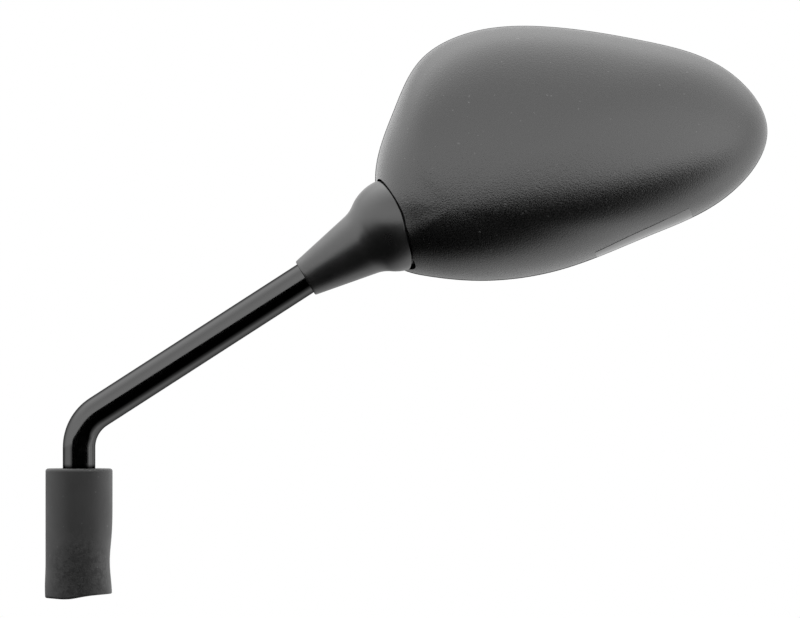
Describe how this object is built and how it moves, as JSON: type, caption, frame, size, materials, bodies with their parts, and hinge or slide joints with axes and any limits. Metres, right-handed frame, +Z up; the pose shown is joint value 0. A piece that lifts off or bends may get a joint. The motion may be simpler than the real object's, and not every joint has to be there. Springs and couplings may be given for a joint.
{
  "type": "motorcycle mirror",
  "caption": "Left-hand motorcycle mirror: egg-shaped housing with convex glass on a ball joint, bent round stem, conical neck cover and a sleeve over the threaded stud.",
  "frame": {"origin": "on the stud axis, at the seat of the plain washer where the handlebar perch begins", "axes": "+Z up along the stem's upright leg, the stud points down -Z; +X towards the mirror's outer tip; the glass faces +Y, towards the rider"},
  "size_m": [0.2654, 0.0465, 0.2108],
  "materials": {
    "stem_rod": "gloss black paint",
    "pivot_ball": "turned steel",
    "ball_pin": "steel",
    "plain_washer": "zinc plated",
    "spring_washer": "zinc plated",
    "lock_nut": "zinc plated",
    "nut_boot": "matte black rubber",
    "neck_boot": "matte black, smooth",
    "front_seat": "natural nylon",
    "rear_seat": "natural nylon",
    "pressure_spring": "spring steel",
    "socket_plug": "steel",
    "socket_bracket": "die cast",
    "bracket_screws": "zinc plated",
    "housing_shell": "fine-grained black moulding",
    "glass_holder": "black moulding",
    "holder_screws": "zinc plated",
    "glass_pad": "foam adhesive",
    "mirror_glass": "convex silvered glass",
    "glass_seal": "black rubber"
  },
  "bodies": {
    "stem": {"stem_rod": "stem_rod", "pivot_ball": "pivot_ball", "ball_pin": "ball_pin", "plain_washer": "plain_washer", "spring_washer": "spring_washer", "lock_nut": "lock_nut", "neck_boot": "neck_boot"},
    "lower_sleeve": {"nut_boot": "nut_boot"},
    "front_slip_ring": {"front_seat": "front_seat"},
    "rear_slip_cup": {"rear_seat": "rear_seat"},
    "head": {"housing_shell": "housing_shell", "socket_bracket": "socket_bracket", "bracket_screws": "bracket_screws", "pressure_spring": "pressure_spring", "socket_plug": "socket_plug", "glass_holder": "glass_holder", "holder_screws": "holder_screws", "glass_pad": "glass_pad", "mirror_glass": "mirror_glass", "glass_seal": "glass_seal"}
  },
  "joints": [
    {"name": "sleeve_slide", "type": "slide", "parent": "stem", "child": "lower_sleeve", "axis": [0, 0, 1], "range_m": [0, 0.0075]},
    {"name": "mirror_pan", "type": "hinge", "parent": "stem", "child": "front_slip_ring", "pos_m": [0.11533, 0, 0.11002], "axis": [0, 0, 1], "range_deg": [-12, 12]},
    {"name": "mirror_roll", "type": "hinge", "parent": "front_slip_ring", "child": "rear_slip_cup", "pos_m": [0.11533, 0, 0.11002], "axis": [0, 1, 0], "range_deg": [-8, 8]},
    {"name": "mirror_tilt", "type": "hinge", "parent": "rear_slip_cup", "child": "head", "pos_m": [0.11533, 0, 0.11002], "axis": [0.8406, 0, 0.5417], "range_deg": [-15, 15]}
  ]
}
